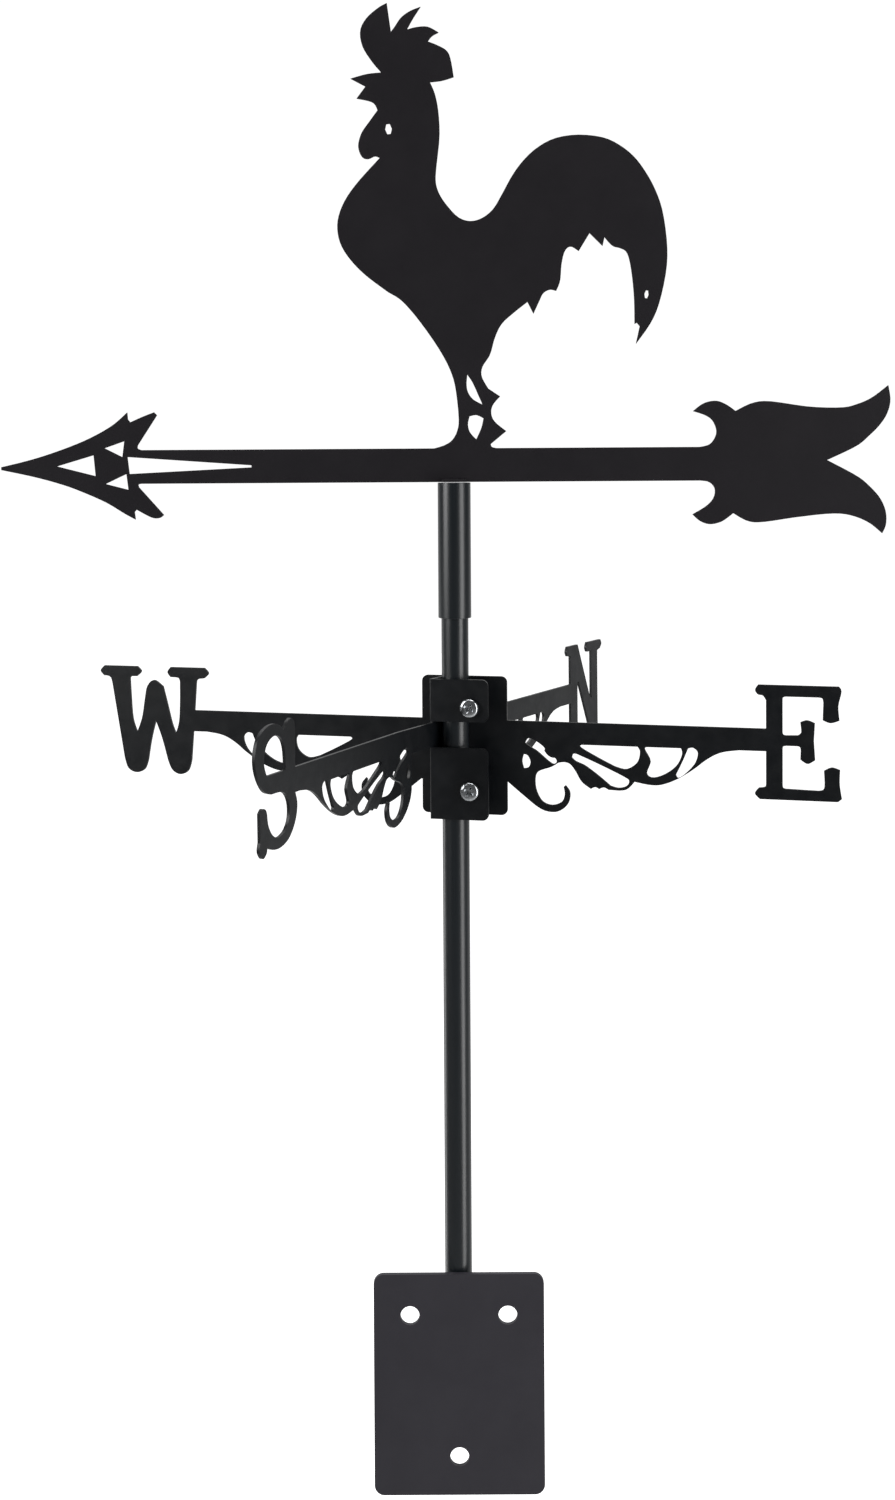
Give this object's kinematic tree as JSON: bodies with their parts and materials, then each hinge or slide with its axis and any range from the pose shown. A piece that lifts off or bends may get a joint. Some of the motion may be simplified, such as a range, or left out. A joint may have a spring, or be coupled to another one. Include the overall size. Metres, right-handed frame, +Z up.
{
  "type": "weather vane",
  "caption": "Wall-fixed weather vane: a rooster and arrow cut from sheet spin on a mast above a clamped compass rose with scrollwork arms.",
  "frame": {"origin": "centre of the base plate's mounting face", "axes": "+Z up along the mast, -Y out of the mounting face, X along the arrow, which points to -X at rest"},
  "size_m": [0.448, 0.3285, 0.7465],
  "materials": {
    "vane_powder": "flat black powder coat",
    "rose_powder": "satin black powder coat",
    "mast_paint": "satin black paint on tube",
    "plate_paint": "satin black paint on plate",
    "zinc": "bright zinc plating",
    "bright_steel": "bare turned steel"
  },
  "bodies": {
    "base": {"base_plate": "plate_paint", "mast_tube": "mast_paint", "mast_weld_left": "plate_paint", "mast_weld_right": "plate_paint", "mast_plug": "bright_steel", "pivot_ball": "bright_steel"},
    "vane": {"vane_plate": "vane_powder", "vane_sleeve": "mast_paint", "sleeve_plug": "bright_steel", "vane_weld_front": "vane_powder", "vane_weld_rear": "vane_powder"},
    "rose": {"west_east_bar": "rose_powder", "north_south_bar": "rose_powder", "clamp_screw_upper": "zinc", "clamp_screw_lower": "zinc", "clamp_nut_upper": "zinc", "clamp_nut_lower": "zinc"}
  },
  "joints": [
    {"name": "vane_spin", "type": "hinge", "parent": "base", "child": "vane", "pos_m": [0, 0.0096, 0.45], "axis": [0, 0, 1], "continuous": true},
    {"name": "rose_turn", "type": "hinge", "parent": "base", "child": "rose", "pos_m": [0, 0.0096, 0.33], "axis": [0, 0, 1], "continuous": true}
  ]
}
